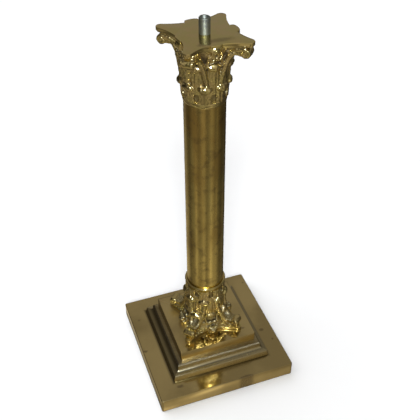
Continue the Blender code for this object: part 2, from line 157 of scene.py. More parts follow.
def hand_polish(name, dull, rough, dark_ovals):
    """Polished flat brass: cloudy tarnish, fine scratches both ways, and a soft waviness."""
    made, shader, place = metal(name)
    cloud = place.grain(22.0, 5.0)
    drift = place.grain(7.0, 2.0)
    spots = place.grain(75.0, 2.0).between(0.70, 0.78)
    veil = (cloud * 0.6 + drift * 0.4).between(0.40, 0.62)
    scratch = place.grain(90.0, 2.0, (1.0, 22.0, 1.0), (0.0, 0.0, 0.5)).between(0.62, 0.72)
    cross = place.grain(80.0, 2.0, (26.0, 1.0, 1.0), (0.0, 0.0, 0.3)).between(0.64, 0.74)
    lines = scratch.math("MAXIMUM", scratch, cross)
    colour = (veil * dull).coat(CLEAN_BRASS, DULL_BRASS)
    spots = spots.math("MAXIMUM", spots, blots(place, dark_ovals))
    colour = (spots * 0.6).coat(colour, BROWN_TARNISH)
    east, north, _ = split(place)
    apart = east.math("MAXIMUM", east.math("ABSOLUTE", east), north.math("ABSOLUTE", north))
    # Painted shade: a dark band on the slab top round the plinth's foot, deepest along the -X
    # side. It stands for the shade and the dark reflection where the plinth meets the slab.
    edge = 1 - (apart + cloud * 0.0010).between(PLINTH_FOOT_HALF, PLINTH_FOOT_HALF + SHADE_BAND_WIDTH)
    colour = (edge * (0.40 + (0 - east).between(0.045, 0.056) * 0.45)).coat(colour, PAINTED_SHADE)
    feed(shader, Base_Color=colour,
         Roughness=rough + veil * 0.07 + lines * 0.05 + spots * 0.12,
         Normal=relief(lines * -1.0, 0.000002,
                       relief(place.grain(38.0, 1.0), POLISH_WAVINESS)))
    return made


def settle(shape, name, node, finish, sharp=35):
    """Makes a finished bmesh the piece that stands for a solid, smooth but for its edges."""
    bmesh.ops.recalc_face_normals(shape, faces=shape.faces)
    mesh = bpy.data.meshes.new(name)
    shape.to_mesh(mesh)
    shape.free()
    mesh.shade_smooth()
    mesh.set_sharp_from_angle(angle=math.radians(sharp))
    mesh.materials.append(finish)
    piece = bpy.data.objects.new(name, mesh)
    bpy.context.scene.collection.objects.link(piece)
    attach(piece, "root")
    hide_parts(node)
    return piece


def upright(edge):
    """True for an edge that rises more than it runs."""
    rise = edge.verts[0].co - edge.verts[1].co
    return abs(rise.z) > math.hypot(rise.x, rise.y)


slab = bmesh.new()
bmesh.ops.create_cube(slab, size=1.0)
bmesh.ops.scale(slab, vec=(SLAB_WIDTH, SLAB_WIDTH, SLAB_THICKNESS), verts=slab.verts)
bmesh.ops.translate(slab, vec=(0.0, 0.0, SLAB_THICKNESS / 2), verts=slab.verts)
bmesh.ops.bevel(slab, geom=[edge for edge in slab.edges if upright(edge)],
                offset=SLAB_CORNER_RADIUS, segments=6, profile=0.5, affect="EDGES", material=-1)
bmesh.ops.bevel(slab, geom=[edge for edge in slab.edges if not upright(edge)],
                offset=SLAB_EDGE_RADIUS, segments=4, profile=0.5, affect="EDGES", material=-1)
slab_finish = hand_polish("slab_polish", 0.8, 0.09, [
    (-0.0511, -0.0630, 0.0040, 0.0022), (0.0629, -0.0187, 0.0030, 0.0022),
    (0.0695, -0.0355, 0.0014, 0.0014), (0.0716, 0.0606, 0.0013, 0.0013),
    (0.0210, -0.0760, 0.0090, 0.0030)])
settle(slab, "square_slab", "base_slab", slab_finish)

# Stepped plinth
# One brass casting, machined to a moulding on its four sides: a flat fascia, a ledge, a rounded
# shoulder, a cove and a battered skirt. The cutter's chatter still shows on the shoulder.

PLINTH_TOP_HALF = 0.0431
FASCIA_HEIGHT = 0.0126
LEDGE_WIDTH = 0.0030
SHOULDER_RADIUS = 0.0024
BAND_HEIGHT = 0.0030
COVE_DEPTH = 0.0058
COVE_HEIGHT = 0.0034
SKIRT_BATTER = 0.0015
SKIRT_HEIGHT = 0.0068
PLINTH_FOOT_Z = SLAB_THICKNESS + PIECE_GAP
PLINTH_HEIGHT = FASCIA_HEIGHT + SHOULDER_RADIUS + BAND_HEIGHT + COVE_HEIGHT + SKIRT_HEIGHT
MITRE_BEVEL = 0.0009
RIM_BEVEL = 0.0003
CHATTER_PITCH = 0.0012
CHATTER_DEPTH = 0.00011
HATCH_PITCH = 0.0020
GROOVE_PITCH = 0.0017
GREY_BRASS = (0.54, 0.48, 0.31, 1.0)


def arc(centre, radius, start, end, steps):
    """Points round a centre, from one angle in degrees to another."""
    turns = [math.radians(start + (end - start) * step / steps) for step in range(steps + 1)]
    return [(centre[0] + radius * math.cos(turn), centre[1] + radius * math.sin(turn))
            for turn in turns]


def turned(profile, sides):
    """A closed bmesh turned about Z from (radius, height) points."""
    shape = bmesh.new()
    points = [shape.verts.new((radius, 0.0, height)) for radius, height in profile]
    ring = [shape.edges.new(pair) for pair in zip(points, points[1:])]
    bmesh.ops.spin(shape, geom=points + ring, cent=(0, 0, 0), axis=(0, 0, 1),
                   angle=math.tau, steps=sides, use_merge=True)
    bmesh.ops.remove_doubles(shape, verts=shape.verts, dist=0.000002)
    bmesh.ops.recalc_face_normals(shape, faces=shape.faces)
    return shape


ledge = PLINTH_HEIGHT - FASCIA_HEIGHT
band = PLINTH_TOP_HALF + LEDGE_WIDTH + SHOULDER_RADIUS
band_foot = ledge - SHOULDER_RADIUS - BAND_HEIGHT
moulding = [(0.0, PLINTH_HEIGHT), (PLINTH_TOP_HALF, PLINTH_HEIGHT),
            (PLINTH_TOP_HALF - 0.0001, ledge)]
moulding += arc((PLINTH_TOP_HALF + LEDGE_WIDTH, ledge - SHOULDER_RADIUS), SHOULDER_RADIUS,
                90, 0, 7)
moulding += [(band + COVE_DEPTH * (1 - math.cos(turn)), band_foot - COVE_HEIGHT * math.sin(turn))
             for turn in [math.pi / 2 * step / 8 for step in range(9)]]
moulding += [(band + COVE_DEPTH + SKIRT_BATTER, 0.0), (0.0, 0.0)]
plinth = turned([(half * math.sqrt(2.0), height) for half, height in moulding], 4)
bmesh.ops.rotate(plinth, matrix=Matrix.Rotation(math.pi / 4, 3, "Z"), verts=plinth.verts)
bmesh.ops.translate(plinth, vec=(0.0, 0.0, PLINTH_FOOT_Z), verts=plinth.verts)


def on_mitre(edge):
    """True for an edge that follows a corner of the moulding."""
    return all(abs(abs(vert.co.x) - abs(vert.co.y)) < 0.00001 for vert in edge.verts) \
        and (edge.verts[0].co.xy - edge.verts[1].co.xy).length < 0.03 \
        and min(vert.co.xy.length for vert in edge.verts) > 0.03


bmesh.ops.bevel(plinth, geom=[edge for edge in plinth.edges if on_mitre(edge)],
                offset=MITRE_BEVEL, segments=4, profile=0.5, affect="EDGES", material=-1)
rims = [edge for edge in plinth.edges
        if len(edge.link_faces) == 2 and edge.calc_face_angle() > 0.6]
bmesh.ops.bevel(plinth, geom=rims, offset=RIM_BEVEL, segments=3, profile=0.5, affect="EDGES",
                material=-1, clamp_overlap=True)

top_z = PLINTH_FOOT_Z + PLINTH_HEIGHT
ledge_z = PLINTH_FOOT_Z + ledge
band_z = PLINTH_FOOT_Z + band_foot
plinth_finish, plinth_shader, plinth_place = metal("moulding_polish")
east, north, height = split(plinth_place)
cloud = plinth_place.grain(26.0, 5.0)
veil = (cloud * 0.7 + plinth_place.grain(9.0, 2.0) * 0.3).between(0.40, 0.62)
below = 1 - height.between(ledge_z - 0.0004, ledge_z + 0.0004)
# Painted shade: the skirt darkens at its foot against the slab, and the moulding darkens just
# under the overhanging ledge.
foot = 1 - height.between(PLINTH_FOOT_Z, PLINTH_FOOT_Z + 0.0026)
corner = below * height.between(ledge_z - 0.0012, ledge_z)
foot_and_ledge_shade = foot * 0.75 + corner * 0.55
aside = north.math("ABSOLUTE", north)
west_side = (0 - east - aside).between(0.0, 0.0008)
east_side = (east - aside).between(0.0, 0.0008)
cove = below * (1 - height.between(band_z - 0.0006, band_z))
machined = below * height.between(band_z, band_z + 0.003)
teeth = (east + north).math("SINE", (east + north) * (math.tau / CHATTER_PITCH))
skew = (east - north).math("SINE", (east - north * 1.7) * (math.tau / CHATTER_PITCH))
lines = plinth_place.grain(160.0, 2.0, (1.0, 1.0, 14.0)).between(0.50, 0.70)
colour = (veil * 0.6).coat(CLEAN_BRASS, DULL_BRASS)
# Painted shade at the foot and under the ledge, with real brown tarnish clouding the machined
# band.
colour = (foot_and_ledge_shade + machined * cloud.between(0.42, 0.60) * 0.35).coat(colour, BROWN_TARNISH)
colour = (below * (1 - west_side) * 0.7).coat(colour, GREY_BRASS)
# Painted shade: the cove on the +X side and the whole -X side below the ledge are darkened for
# the way light falls on them.
colour = (east_side * cove * 0.40 + west_side * below * 0.65).coat(colour, PAINTED_SHADE)
fascia = height.between(ledge_z, ledge_z + 0.0005) \
    * (1 - height.between(top_z - 0.0008, top_z - 0.0004))
slant = north * 0.48 + height * 0.88
hatch = slant.math("SINE", slant * (math.tau / HATCH_PITCH)).between(-0.6, 0.6)
facing_up = split(plinth_place.node("NewGeometry", {}, {}, "Normal"))[2]
upper = height.between(band_z - 0.0005, band_z + 0.0005)
upper = upper * (1 - facing_up.between(0.4, 0.8))
colour = (hatch * west_side * upper * 0.85 + hatch * machined * 0.2).coat(colour, BROWN_TARNISH)
# Painted shade: dark lines across the machined band on the -X side, between the lines that catch
# the light.
groove = height.math("SINE", height * (math.tau / GROOVE_PITCH)).between(-0.2, 0.7)
colour = (groove * west_side * machined * 0.6).coat(colour, PAINTED_SHADE)
inset = east.math("MAXIMUM", east.math("ABSOLUTE", east), aside)
rim_line = inset.between(PLINTH_TOP_HALF - 0.0012, PLINTH_TOP_HALF - 0.0006) \
    * (1 - fascia) * height.between(ledge_z, ledge_z + 0.001)
colour = (rim_line * north.between(0.030, 0.040) * 0.6).coat(colour, BROWN_TARNISH)
dark_oval = blots(plinth_place, [
    (0.0353, -0.0122, 0.0030, 0.0012), (-0.0060, -0.0310, 0.0240, 0.0100),
    (0.0322, -0.0319, 0.0034, 0.0018)])
colour = (dark_oval * (1 - fascia) * 0.45).coat(colour, BROWN_TARNISH)
marks = machined * (teeth * 0.5 + skew * 0.5)
feed(plinth_shader, Base_Color=colour,
     Roughness=(0.09 + veil * 0.07 + below * 0.08 + machined * 0.06 + lines * below * 0.06
                + west_side * 0.26),
     Normal=relief(marks, CHATTER_DEPTH,
                   relief(lines * below, 0.000012,
                          relief(plinth_place.grain(38.0, 1.0), POLISH_WAVINESS))))
settle(plinth, "moulded_plinth", "stepped_plinth", plinth_finish)

# Lower casting
# The same Corinthian casting as the capital, stood on its abacus with its leaves upside down,
# as many such lamps have it. Brass cast in one with its collar, and polished on its high points.

CARVED_HEIGHT = 0.0570
SHAFT_RADIUS = 0.01935
BELL_RADIUS = 0.0180
LEAF_SPACING = math.radians(45)
LEAF_WIDTH = 0.0126
LEAF_RELIEF = 0.0021
LEAF_FLUTE = 0.00026
LEAF_RIB = 0.00050
LEAF_ROOT = 0.0006
LOW_CREST = 0.0146
HIGH_FOOT = 0.0094
HIGH_CREST = 0.0350
TIP_WIDTH = 0.0128
TIP_HEIGHT = 0.0080
TIP_DEPTH = 0.0072
LOW_TIP_REACH = 0.0054
HIGH_TIP_REACH = 0.0044
CORNER_TIP_REACH = 0.0072
ABACUS_OVERHANG = 0.0250
ABACUS_TIP_RADIUS = 0.0045
ABACUS_FILLET = 0.0033
ABACUS_MOULDING = 0.0013
ABACUS_STEP = 0.0010
ABACUS_THICKNESS = ABACUS_FILLET + ABACUS_MOULDING
VOLUTE_RADIUS = 0.0045
VOLUTE_WIDTH = 0.0110
VOLUTE_INSET = 0.0018
VOLUTE_DROP = 0.0009
STALK_RADIUS = 0.0025
HELIX_RADIUS = 0.0013
HELIX_CURL = 0.0024
FLEURON_WIDTH = 0.0125
FLEURON_DEPTH = 0.0100
# A side of an abacus: its waist, its bump, the flower's reach, and the bump's width
EVEN_SIDE = (0.0048, 0.0034, 0.0123, 0.0110)
COLLAR_HEIGHT = 0.0058
COLLAR_LIP = 0.0024
COLLAR_SEAT = 0.0020
LOWER_TURN = math.radians(-1.0)
LOWER_FACE_Z = PLINTH_FOOT_Z + PLINTH_HEIGHT + PIECE_GAP
CAST_GRAIN = 0.0005
BELL_FLARE = 0.0235
RIM_OVERLAP = 0.0015
CHASED_SWELL = 0.00032
HOLLOW_REACH = 0.012
GROUND_INNER = 0.033
GROUND_OUTER = 0.037
GOLD_BRASS = (0.76, 0.65, 0.28, 1.0)
HOLLOW_TARNISH = (0.26, 0.205, 0.105, 1.0)
# Pale colour of the matted ground; its silvery specks are painted glints.
SILVERY_GROUND_AND_GLINTS = (0.68, 0.62, 0.38, 1.0)


def around(radius, angle, height):
    """The point at a radius and an angle about the axis."""
    return Vector((radius * math.cos(angle), radius * math.sin(angle), height))


def leaf(into, angle, foot, crest):
    """The body of an acanthus leaf: a veined plate on the bell, with lobes down its edges."""
    plate = bmesh.new()
    bmesh.ops.create_grid(plate, x_segments=44, y_segments=60, size=1.0)
    front = bmesh.ops.extrude_face_region(plate, geom=plate.faces[:], use_keep_orig=True)
    for item in front["geom"]:
        if isinstance(item, bmesh.types.BMVert):
            item.co.z = 1.0
    top = crest + TIP_HEIGHT * 0.45
    for vert in plate.verts:
        across, along, depth = vert.co.x, (vert.co.y + 1) / 2, vert.co.z
        flutes = math.cos(3.5 * math.pi * across) * (1 - 0.35 * abs(across))
        rib = math.exp(-(across / 0.13) ** 2)
        veins = (LEAF_FLUTE * flutes + LEAF_RIB * rib) * min(1.0, 0.3 + along)
        lobes = 0.82 + 0.18 * abs(math.sin(along * math.pi * 2.5 + 0.7)) ** 0.7
        ending = min(1.0, (1.03 - along) / 0.22)
        half = LEAF_WIDTH / 2 * lobes * math.sqrt(ending * (2 - ending))
        face = SHAFT_RADIUS + LEAF_RELIEF * (0.78 + 0.22 * along) + veins - 0.0007 * across ** 4
        radius = BELL_RADIUS - LEAF_ROOT + (face - BELL_RADIUS + LEAF_ROOT) * depth
        height = foot + (top - foot) * along - CARVED_HEIGHT
        vert.co = around(radius, angle + across * half / face, height)
    bmesh.ops.recalc_face_normals(plate, faces=plate.faces)
    gather(plate, into)


def leaf_tip(into, angle, crest, reach):
    """The heavy end of a leaf: a lobed, creased bulb that hangs over and narrows downwards."""
    bulb = bmesh.new()
    bmesh.ops.create_uvsphere(bulb, u_segments=64, v_segments=40, radius=1.0)
    for vert in bulb.verts:
        ahead, across, rise = vert.co
        down = max(0.0, -rise)
        lobes = 1 + 0.06 * math.cos(3 * math.pi * across) * max(0.0, ahead)
        crease = 0.10 * math.exp(-(across / 0.10) ** 2) * max(0.0, ahead)
        vert.co = Vector((ahead * (lobes - crease), across * (1 - 0.35 * down),
                          rise * (1 + 0.06 * math.cos(5 * across))))
    bmesh.ops.scale(bulb, vec=(TIP_DEPTH / 2, TIP_WIDTH / 2, TIP_HEIGHT / 2), verts=bulb.verts)
    place = (SHAFT_RADIUS + reach - TIP_DEPTH / 2 - 0.0002, 0.0, crest - CARVED_HEIGHT)
    bmesh.ops.translate(bulb, vec=place, verts=bulb.verts)
    bmesh.ops.rotate(bulb, matrix=Matrix.Rotation(angle, 3, "Z"), verts=bulb.verts)
    gather(bulb, into)


def gather(shape, into):
    """Adds a closed shape to a bmesh, and frees it."""
    kept = bpy.data.meshes.new("kept")
    shape.to_mesh(kept)
    shape.free()
    into.from_mesh(kept)
    bpy.data.meshes.remove(kept)


def rod(into, route):
    """A round stem through (place, radius) pairs, closed at both ends."""
    curve = bpy.data.curves.new("stem", "CURVE")
    curve.dimensions = "3D"
    curve.bevel_depth = 1.0
    curve.bevel_resolution = 3
    curve.use_fill_caps = True
    spline = curve.splines.new("POLY")
    spline.points.add(len(route) - 1)
    for point, (place, radius) in zip(spline.points, route):
        point.co = (*place, 1.0)
        point.radius = radius
    stem = bpy.data.objects.new("stem", curve)
    bpy.context.scene.collection.objects.link(stem)
    bpy.context.view_layer.update()
    mesh = bpy.data.meshes.new_from_object(stem.evaluated_get(
        bpy.context.evaluated_depsgraph_get()))
    bpy.data.objects.remove(stem)
    shape = bmesh.new()
    shape.from_mesh(mesh)
    bpy.data.meshes.remove(mesh)
    bmesh.ops.remove_doubles(shape, verts=shape.verts, dist=0.000002)
    bmesh.ops.recalc_face_normals(shape, faces=shape.faces)
    gather(shape, into)


def smoothed(stops, pieces):
    """The stops of a route with points eased in between, by a Catmull-Rom curve."""
    route = []
    for index in range(len(stops) - 1):
        before, start, end, after = (np.array(stops[max(0, min(len(stops) - 1, index + lag))])
                                     for lag in (-1, 0, 1, 2))
        for share in np.arange(pieces) / pieces:
            route.append(0.5 * (2 * start + (end - before) * share
                                + (2 * before - 5 * start + 4 * end - after) * share ** 2
                                + (3 * start - before - 3 * end + after) * share ** 3))
    return route + [np.array(stops[-1])]


def stalk(into, middle, side):
    """A ribbed strap that rises between two leaves and leans out under a corner."""
    stops = [(17.0, 0.0002, 0.29, 1.0), (24.0, 0.0014, 0.50, 1.1), (29.0, 0.0030, 0.65, 1.15),
             (34.0, 0.0056, 0.76, 1.1), (39.0, 0.0104, 0.83, 0.95), (43.0, 0.0150, 0.855, 0.8)]
    rope = []
    for number, (turn, out, share, swell) in enumerate(smoothed(stops, 8)):
        beading = 1 + 0.07 * math.cos(number * 2.4)
        rope.append((around(SHAFT_RADIUS + out, middle + side * math.radians(turn),
                            CARVED_HEIGHT * (share - 1)), STALK_RADIUS * swell * beading))
    rod(into, rope)


def helix(into, middle, side):
    """A thin tendril from a stalk to the middle of its side, curled in at the end."""
    route = [(around(SHAFT_RADIUS + 0.0004, middle + side * math.radians(21),
                     CARVED_HEIGHT * (0.625 - 1)), HELIX_RADIUS)]
    for step in range(25):
        turn = math.radians(400 * step / 24)
        curl = HELIX_CURL * (1 - 0.62 * step / 24)
        swing = curl * math.cos(turn) / SHAFT_RADIUS
        route.append((around(SHAFT_RADIUS + 0.0034 + 0.0016 * step / 24,
                             middle + side * (math.radians(8) + swing),
                             CARVED_HEIGHT * (0.78 - 1) + curl * math.sin(turn)),
                      HELIX_RADIUS * (1 - 0.25 * step / 24)))
    rod(into, route)


VOLUTE_EYE = (SHAFT_RADIUS + ABACUS_OVERHANG - VOLUTE_RADIUS - VOLUTE_INSET,
              -ABACUS_THICKNESS - VOLUTE_RADIUS - VOLUTE_DROP)


def volute(into, turn):
    """The bracket under a corner of the abacus, with a raised spiral on each cheek."""
    eye = VOLUTE_EYE
    top = -ABACUS_THICKNESS / 2
    edge = [(BELL_RADIUS - 0.001, top), (eye[0], top)]
    edge += arc(eye, VOLUTE_RADIUS, 75, -135, 18)
    edge += [tuple(point) for point in smoothed(
        [(SHAFT_RADIUS + 0.0100, eye[1] - 0.0027), (SHAFT_RADIUS + 0.0052, eye[1] - 0.0035),
         (SHAFT_RADIUS + 0.0016, eye[1] - 0.0065), (BELL_RADIUS - 0.001, eye[1] - 0.0095)], 4)]
    shape = bmesh.new()
    cheek = shape.faces.new([shape.verts.new((*point, -VOLUTE_WIDTH / 2)) for point in edge])
    other = bmesh.ops.extrude_face_region(shape, geom=[cheek], use_keep_orig=True)
    bmesh.ops.translate(shape, vec=(0.0, 0.0, VOLUTE_WIDTH),
                        verts=[item for item in other["geom"]
                               if isinstance(item, bmesh.types.BMVert)])
    lips = [item for item in shape.edges
            if abs(item.verts[0].co.z - item.verts[1].co.z) < VOLUTE_WIDTH / 2]
    bmesh.ops.bevel(shape, geom=lips, offset=0.0010, segments=3, profile=0.5, affect="EDGES",
                    material=-1)
    bmesh.ops.recalc_face_normals(shape, faces=shape.faces)
    for cheek_z in (-VOLUTE_WIDTH / 2, VOLUTE_WIDTH / 2):
        route = [((SHAFT_RADIUS + 0.0030, eye[1] - 0.0010, cheek_z), 0.0008),
                 ((SHAFT_RADIUS + 0.0105, eye[1] + 0.0028, cheek_z), 0.0008)]
        for step in range(34):
            wind = math.radians(110 - 560 * step / 33)
            reach = (VOLUTE_RADIUS - 0.0006) * (1 - 0.80 * step / 33)
            route.append(((eye[0] + reach * math.cos(wind), eye[1] + reach * math.sin(wind),
                           cheek_z), 0.0008 - 0.0002 * step / 33))
        rod(shape, route)
    stand = Matrix.Rotation(turn, 3, "Z") @ Matrix.Rotation(math.pi / 2, 3, "X")
    bmesh.ops.rotate(shape, matrix=stand, verts=shape.verts)
    gather(shape, into)


def flower(into, middle, side):
    """The five-petalled flower at the middle of a side, under the edge of the abacus."""
    shape = bmesh.new()
    bmesh.ops.create_uvsphere(shape, u_segments=48, v_segments=32, radius=1.0)
    for vert in shape.verts:
        ahead = max(0.0, vert.co.x)
        turn = math.atan2(vert.co.y, vert.co.z)
        petals = 1 + 0.13 * math.cos(5 * turn) * (1 - ahead ** 2)
        bud = 1 + 0.10 * math.exp(-((1 - ahead) / 0.10) ** 2) - 0.14 * math.exp(
            -((ahead - 0.80) / 0.10) ** 2)
        vert.co = Vector((vert.co.x * bud, vert.co.y * petals, vert.co.z * petals))
    size = (FLEURON_DEPTH / 2.2, FLEURON_WIDTH / 2.15, FLEURON_DEPTH / 2.1)
    bmesh.ops.scale(shape, vec=size, verts=shape.verts)
    out = SHAFT_RADIUS + side[2] - FLEURON_DEPTH / 2
    bmesh.ops.translate(shape, vec=(out, 0.0, -0.0003 - FLEURON_DEPTH / 2), verts=shape.verts)
    bmesh.ops.rotate(shape, matrix=Matrix.Rotation(middle, 3, "Z"), verts=shape.verts)
    gather(shape, into)


def bell():
    """The plain bell behind the leaves, from inside the abacus down to the rim."""
    steps = 30
    top, low = CARVED_HEIGHT - ABACUS_THICKNESS / 2, -RIM_OVERLAP
    points = [(0.0, top - CARVED_HEIGHT)]
    for step in range(steps + 1):
        height = top + (low - top) * step / steps
        flare = max(0.0, height / CARVED_HEIGHT - 0.5) ** 1.5
        points.append((BELL_RADIUS + BELL_FLARE * flare, height - CARVED_HEIGHT))
    return turned(points + [(0.0, low - CARVED_HEIGHT)], 96)


def carve(sides):
    """Everything below an abacus, melted into one fine skin, as a mesh."""
    shape = bell()
    for index in range(8):
        turn = index * LEAF_SPACING
        between = turn + LEAF_SPACING / 2
        leaf(shape, between, 0.0, LOW_CREST)
        leaf_tip(shape, between, LOW_CREST, LOW_TIP_REACH)
        leaf(shape, turn, HIGH_FOOT, HIGH_CREST)
        leaf_tip(shape, turn, HIGH_CREST, CORNER_TIP_REACH if index % 2 else HIGH_TIP_REACH)
    for quarter, side in enumerate(sides):
        middle = (1 - quarter) * math.pi / 2
        for hand in (-1, 1):
            stalk(shape, middle, hand)
            helix(shape, middle, hand)
        volute(shape, middle + math.pi / 4)
        flower(shape, middle, side)
    mesh = bpy.data.meshes.new("carving")
    shape.to_mesh(mesh)
    shape.free()
    rough = bpy.data.objects.new("carving", mesh)
    bpy.context.scene.collection.objects.link(rough)
    melt = rough.modifiers.new("melt", "REMESH")
    melt.mode = "VOXEL"
    melt.voxel_size = CAST_GRAIN
    bpy.context.view_layer.update()
    skin = bpy.data.meshes.new_from_object(rough.evaluated_get(
        bpy.context.evaluated_depsgraph_get()))
    bpy.data.objects.remove(rough)
    return skin


def soften(shape, rounds):
    """Takes the voxel steps out of a skin, and leaves it uneven like hand-chased work."""
    for _ in range(rounds):
        bmesh.ops.smooth_vert(shape, verts=shape.verts, factor=0.5, use_axis_x=True,
                              use_axis_y=True, use_axis_z=True)
    shape.normal_update()
    for vert in shape.verts:
        swell = noise.noise(vert.co * 260.0) + 0.6 * noise.noise(vert.co * 620.0)
        vert.co += vert.normal * CHASED_SWELL * swell


TIP_CENTRE = (SHAFT_RADIUS + ABACUS_OVERHANG - ABACUS_TIP_RADIUS) / math.sqrt(2.0)


def hollow_radius(side):
    """Radius of a side's hollow, which meets the tips' arcs without a kink."""
    short = TIP_CENTRE - SHAFT_RADIUS - side[0]
    return ((TIP_CENTRE ** 2 + short ** 2 - ABACUS_TIP_RADIUS ** 2)
            / (2 * (ABACUS_TIP_RADIUS + short)))


def tip_lean(side):
    """Direction from a tip's centre to where its arc meets the hollow of that side."""
    short = TIP_CENTRE - SHAFT_RADIUS - side[0]
    return math.degrees(math.atan2(hollow_radius(side) - short, -TIP_CENTRE))


def side_points(side, fine):
    """A side of the abacus, seen as the one at +Y: hollow, with the flower's blunt bump."""
    waist, bump, _, width = side
    hollow = hollow_radius(side)
    touch = TIP_CENTRE * hollow / (hollow + ABACUS_TIP_RADIUS)
    flank = []
    for step in range(fine + 1):
        across = -touch + (touch - width / 2) * step / fine
        flank.append((across, SHAFT_RADIUS + waist + hollow
                      - math.sqrt(hollow ** 2 - across ** 2)))
    base = flank.pop()[1]
    crown = []
    for step in range(15):
        turn = math.pi * (1 - step / 14)
        blunt = math.copysign(abs(math.cos(turn)) ** 0.7, math.cos(turn))
        crown.append((width / 2 * blunt, base + bump * max(0.0, math.sin(turn)) ** 0.7))
    return flank + crown + [(-across, out) for across, out in reversed(flank)]


def abacus_plan(sides, wear_and_foot_light, fine=8):
    """Plan of the abacus, with its sides at +Y, +X, -Y and -X and the tip at -X -Y cut back by
    wear.
    """
    points = []
    for quarter, side in enumerate(sides):
        end = 90 - tip_lean(sides[(quarter + 1) % 4])
        run = side_points(side, fine) + arc((TIP_CENTRE, TIP_CENTRE), ABACUS_TIP_RADIUS,
                                            tip_lean(side), end, 10)[1:-1]
        spin = Matrix.Rotation(-quarter * math.pi / 2, 2)
        points += [spin @ Vector(point) for point in run]
    front = Vector((-1.0, -1.0)).normalized()
    reach = SHAFT_RADIUS + ABACUS_OVERHANG
    return [point * (1 - wear_and_foot_light / reach * max(0.0, point.normalized() @ front) ** 4)
            for point in points]


def abacus(sides, wear_and_foot_light):
    """The flat abacus: a fillet over a set-back moulding, its edges eased."""
    shape = bmesh.new()
    lower = shape.faces.new([shape.verts.new((*point, 0.0))
                             for point in abacus_plan(sides, wear_and_foot_light)])
    for number, (inset, drop) in enumerate([(0.0, ABACUS_FILLET),
                                            (ABACUS_STEP, ABACUS_MOULDING)]):
        if inset > 0:
            bmesh.ops.inset_region(shape, faces=[lower], thickness=inset)
        sunk = bmesh.ops.extrude_face_region(shape, geom=[lower], use_keep_orig=True)
        if number > 0:
            bmesh.ops.delete(shape, geom=[lower], context="FACES_ONLY")
        bmesh.ops.translate(shape, vec=(0.0, 0.0, -drop), verts=[
            item for item in sunk["geom"] if isinstance(item, bmesh.types.BMVert)])
        lower = next(item for item in sunk["geom"] if isinstance(item, bmesh.types.BMFace))
    bmesh.ops.recalc_face_normals(shape, faces=shape.faces)
    rims = [edge for edge in shape.edges if edge.calc_face_angle(0.0) > 1.0
            and abs(edge.verts[0].co.z - edge.verts[1].co.z) < 0.0001]
    bmesh.ops.bevel(shape, geom=rims, offset=0.0003, segments=2, profile=0.5, affect="EDGES",
                    material=-1)
    bmesh.ops.triangulate(shape, faces=[face for face in shape.faces if len(face.verts) > 4])
    return shape


def shade_hollows(shape, rays):
    """Marks how deep in the relief each point lies, by how much of the sky it sees."""
    layer = shape.verts.layers.float.new("hollow")
    tree = BVHTree.FromBMesh(shape)
    golden = math.pi * (3 - math.sqrt(5))
    fan = [Vector((math.sqrt(1 - z * z) * math.cos(golden * i),
                   math.sqrt(1 - z * z) * math.sin(golden * i), z))
           for i, z in enumerate((np.arange(rays) + 0.5) / rays)]
    shape.normal_update()
    for vert in shape.verts:
        spin = Vector((0.0, 0.0, 1.0)).rotation_difference(vert.normal)
        start = vert.co + vert.normal * 0.0003
        hits = 0.0
        for way in fan:
            distance = tree.ray_cast(start, spin @ way, HOLLOW_REACH)[3]
            hits += 0.0 if distance is None else 1.0 - distance / HOLLOW_REACH
        vert[layer] = min(1.0, 1.6 * hits / rays)


def cast_finish(name, ground, dark_ovals):
    """Cast brass: gold on its rubbed high points, brown and rougher down in the hollows."""
    made, shader, place = metal(name)
    hollow = place.node("Attribute", {"attribute_name": "hollow"}, {}, "Fac")
    cloud = place.grain(120.0, 4.0)
    pits = place.grain(900.0, 2.0)
    deep = (hollow + cloud * 0.3 - 0.15).between(0.30, 0.85)
    rubbed = 1 - (hollow + pits * 0.12).between(0.05, 0.30)
    colour = cloud.between(0.35, 0.65).coat(GOLD_BRASS, CLEAN_BRASS)
    colour = deep.coat(colour, HOLLOW_TARNISH)
    rough = 0.17 + deep * 0.25 - rubbed * 0.06 + cloud * 0.05
    if dark_ovals:
        dark_oval = blots(place, dark_ovals)
        colour = (dark_oval * 0.45).coat(colour, BROWN_TARNISH)
        rough = rough + dark_oval * 0.12
    height = pits * (0.25 + deep * 0.5)
    depth = 0.00006
    if ground:
        up = split(place.node("NewGeometry", {}, {}, "Normal"))[2]
        east, north, level = split(place)
        inward = 1 - (east * east + north * north).between(GROUND_INNER ** 2, GROUND_OUTER ** 2)
        sand = inward * up.between(0.25, 0.60) * (1 - level.between(LOWER_FACE_Z + 0.013,
                                                                    LOWER_FACE_Z + 0.017))
        # Matted ground on the upward faces near the abacus. It is really rougher and stippled,
        # and its pale silvery specks are painted glints standing for the camera-side lamp
        # sparkling on it.
        stipple = place.grain(620.0, 2.0).between(0.42, 0.58)
        colour = (sand * 0.6).coat(colour, stipple.coat(HOLLOW_TARNISH, SILVERY_GROUND_AND_GLINTS))
        rough = rough + sand * 0.14
        height = height + sand * stipple * 1.4
        depth = 0.00022
    feed(shader, Base_Color=colour, Roughness=rough, Normal=relief(height, depth))
    return made


def casting(sides, wear_and_foot_light, rim):
    """A casting: its skin with its hollows marked, its abacus and its turned rim."""
    skin = carve(sides)
    shape = bmesh.new()
    shape.from_mesh(skin)
    bpy.data.meshes.remove(skin)
    soften(shape, 2)
    shade_hollows(shape, 24)
    gather(abacus(sides, wear_and_foot_light), shape)
    gather(turned(rim, 128), shape)
    return shape


